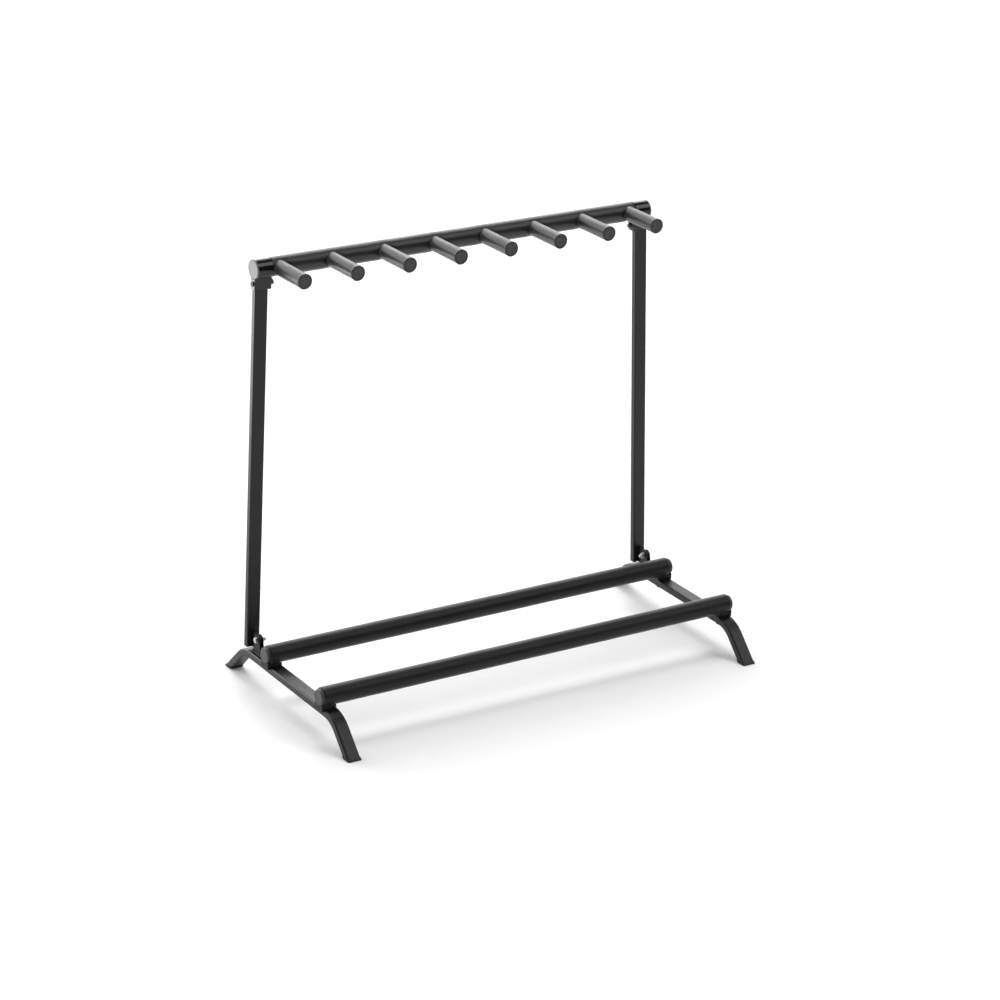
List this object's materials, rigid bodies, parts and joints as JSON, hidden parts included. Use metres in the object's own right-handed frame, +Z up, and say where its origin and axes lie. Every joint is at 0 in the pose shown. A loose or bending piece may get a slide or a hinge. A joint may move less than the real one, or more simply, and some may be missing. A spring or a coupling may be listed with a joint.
{
  "type": "guitar rack",
  "caption": "Folding floor rack for guitars: two padded rails on arched side frames, and a hinged upper frame whose padded bar carries padded pegs that separate the necks.",
  "frame": {"origin": "on the floor, in the middle of the four feet, which is the bottom centre of the bounding box", "axes": "+X along the padded bars, +Y to the back of the rack, +Z up; the pegs point along -Y"},
  "size_m": [0.7546, 0.3866, 0.6742],
  "materials": {
    "powder_coat": "fine-textured satin powder coat",
    "bar_foam": "closed-cell foam with a smooth extruded skin",
    "peg_foam": "closed-cell foam, skin on the side and cut cells at the tip",
    "foot_plastic": "matte moulded",
    "rail_plastic": "matte moulded",
    "tee_plastic": "glossy moulded",
    "cap_plastic": "satin moulded",
    "bare_tube": "drawn tube, unpainted inside the foam",
    "black_fastener": "black oxide",
    "zinc_fastener": "bright zinc"
  },
  "bodies": {
    "base": {"side_frame_left": "powder_coat", "side_frame_right": "powder_coat", "foot_plug_front_left": "foot_plastic", "foot_plug_front_right": "foot_plastic", "foot_plug_rear_left": "foot_plastic", "foot_plug_rear_right": "foot_plastic", "rail_tube_front": "bare_tube", "rail_foam_front": "bar_foam", "rail_cap_front_left": "rail_plastic", "rail_saddle_front_left": "rail_plastic", "rail_cap_front_right": "rail_plastic", "rail_saddle_front_right": "rail_plastic", "rail_tube_rear": "bare_tube", "rail_foam_rear": "bar_foam", "rail_cap_rear_left": "rail_plastic", "rail_saddle_rear_left": "rail_plastic", "rail_cap_rear_right": "rail_plastic", "rail_saddle_rear_right": "rail_plastic", "rail_bolts": "black_fastener", "rail_inserts": "zinc_fastener", "hinge_bracket_left": "powder_coat", "hinge_bracket_right": "powder_coat", "hinge_bolts": "zinc_fastener", "hinge_nuts": "zinc_fastener"},
    "upper": {"upright_left": "powder_coat", "upright_plug_left": "foot_plastic", "hinge_lug_left": "powder_coat", "top_tee_left": "tee_plastic", "tee_cap_left": "cap_plastic", "upright_right": "powder_coat", "upright_plug_right": "foot_plastic", "hinge_lug_right": "powder_coat", "top_tee_right": "tee_plastic", "tee_cap_right": "cap_plastic", "tee_bolts": "black_fastener", "tee_nuts": "black_fastener", "bar_tube": "bare_tube", "bar_foam": "bar_foam", "peg_core_1": "bare_tube", "peg_core_2": "bare_tube", "peg_core_3": "bare_tube", "peg_core_4": "bare_tube", "peg_core_5": "bare_tube", "peg_core_6": "bare_tube", "peg_core_7": "bare_tube", "peg_core_8": "bare_tube", "peg_foam_1": "peg_foam", "peg_foam_2": "peg_foam", "peg_foam_3": "peg_foam", "peg_foam_4": "peg_foam", "peg_foam_5": "peg_foam", "peg_foam_6": "peg_foam", "peg_foam_7": "peg_foam", "peg_foam_8": "peg_foam"}
  },
  "joints": [
    {"name": "upper_fold", "type": "hinge", "parent": "base", "child": "upper", "pos_m": [0, 0.1045, 0.0765], "axis": [1, 0, 0], "range_deg": [0, 88]}
  ]
}
